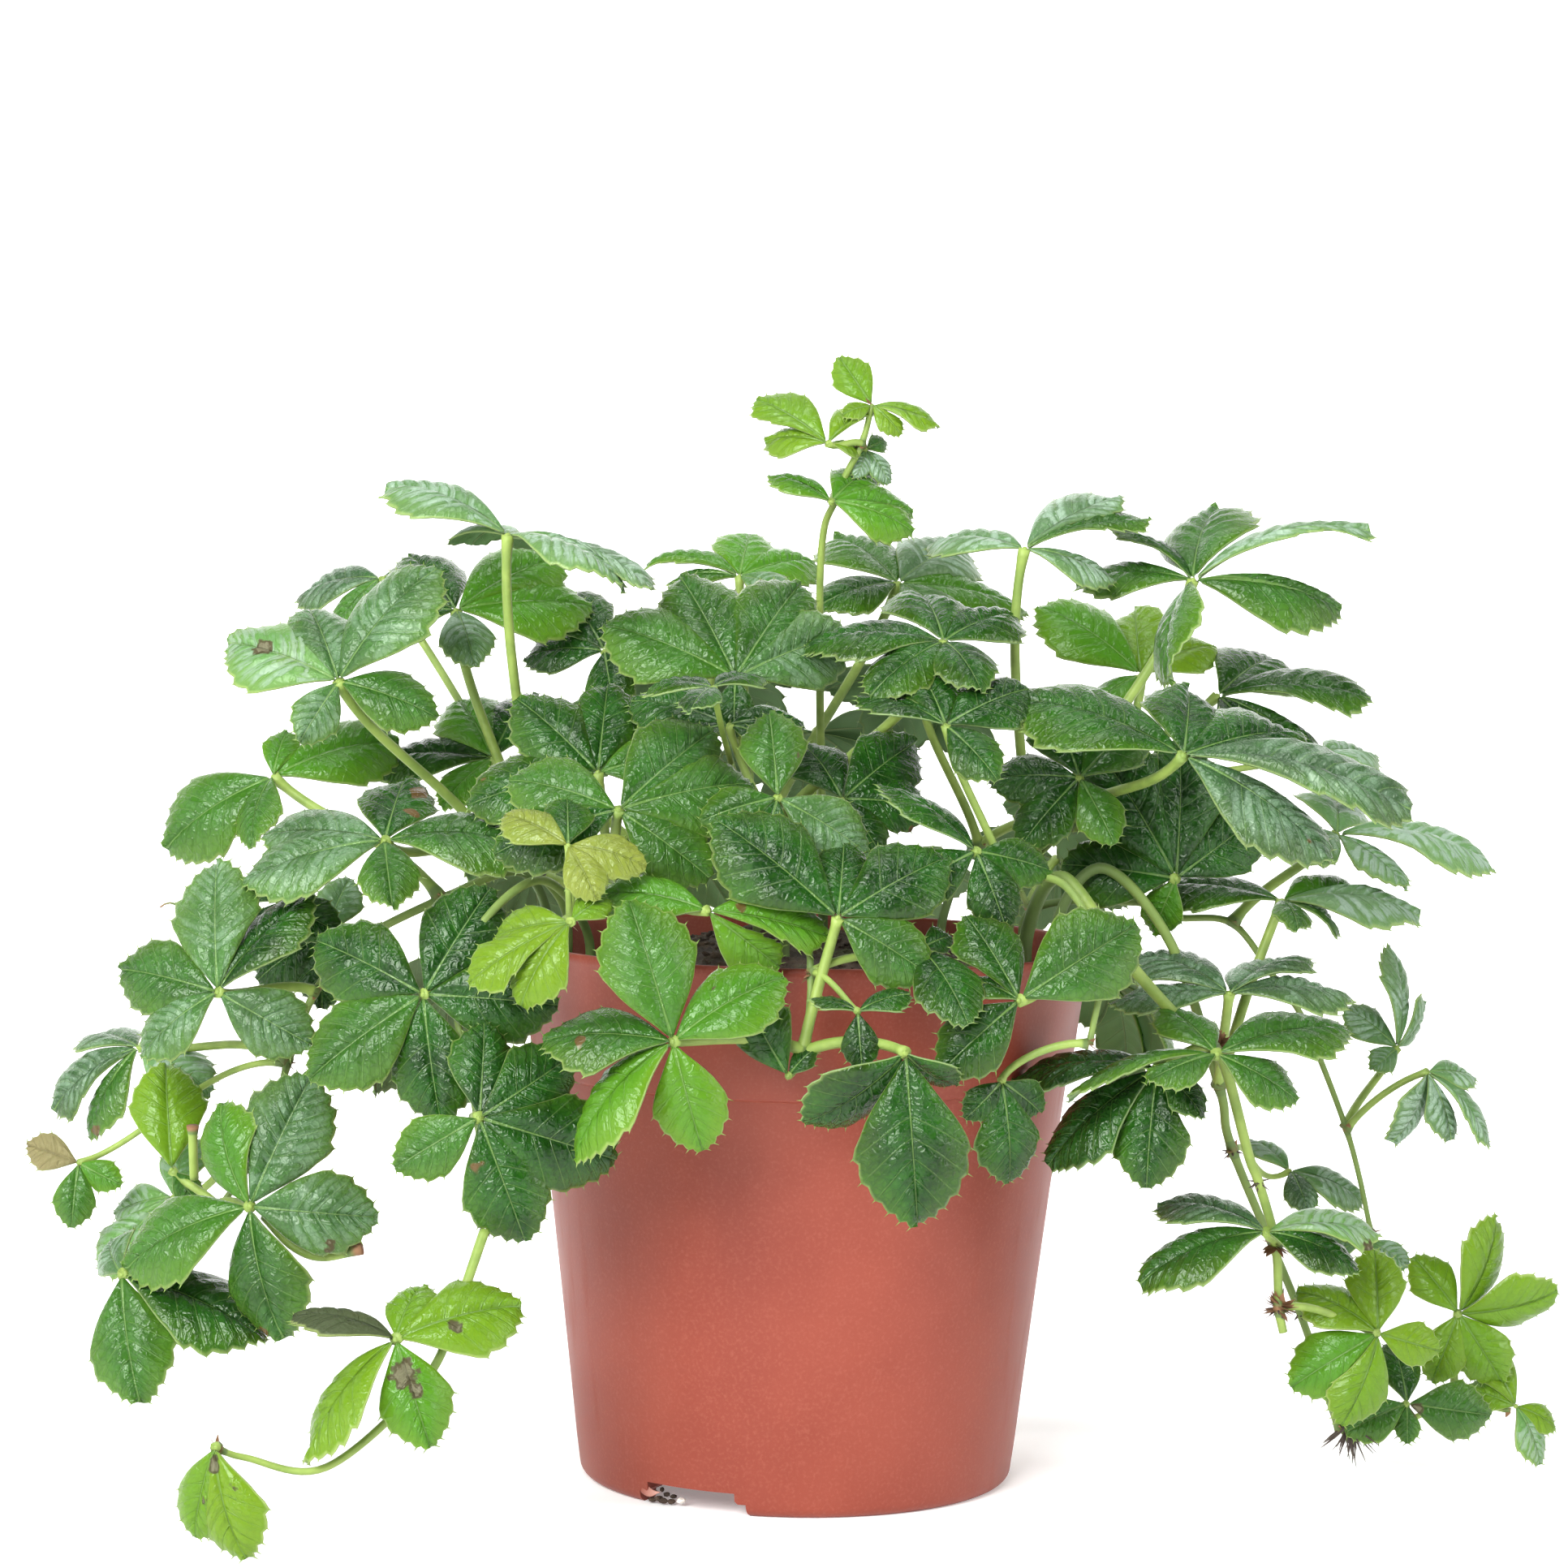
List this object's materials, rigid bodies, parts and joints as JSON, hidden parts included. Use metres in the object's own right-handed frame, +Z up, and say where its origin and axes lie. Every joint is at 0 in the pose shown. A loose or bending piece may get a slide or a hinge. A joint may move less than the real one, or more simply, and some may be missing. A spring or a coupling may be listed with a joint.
{
  "type": "potted grape ivy",
  "caption": "Miniature grape ivy with toothed palmate leaves on trailing stems, in a round terracotta-coloured nursery pot filled with soil.",
  "frame": {"origin": "centre of the pot's foot on the ground, under the pot's axis", "axes": "+Z up along the pot's axis, -Y towards the picture's side, +X to the right of that view, where the longer shoots trail"},
  "size_m": [0.3192, 0.2046, 0.2331],
  "materials": {
    "pot": "satin terracotta-coloured plastic",
    "soil": "dark crumbly peat",
    "foliage": "glossy dark green leaf",
    "young_foliage": "soft glossy lime leaf"
  },
  "bodies": {
    "root": {"pot": "pot", "shoot_back_left": "foliage", "shoot_back_middle": "foliage", "shoot_back_right": "foliage", "shoot_front_left": "foliage", "shoot_front_middle": "foliage", "shoot_front_right": "foliage", "shoot_left_crown": "foliage", "shoot_left_far": "foliage", "shoot_left_front": "foliage", "shoot_middle": "foliage", "shoot_right": "foliage", "shoot_right_crown": "foliage", "shoot_right_far": "foliage", "shoot_right_thin": "foliage", "soil": "soil", "young_front": "young_foliage", "young_left": "young_foliage", "young_right": "young_foliage", "young_top": "young_foliage"}
  },
  "joints": []
}
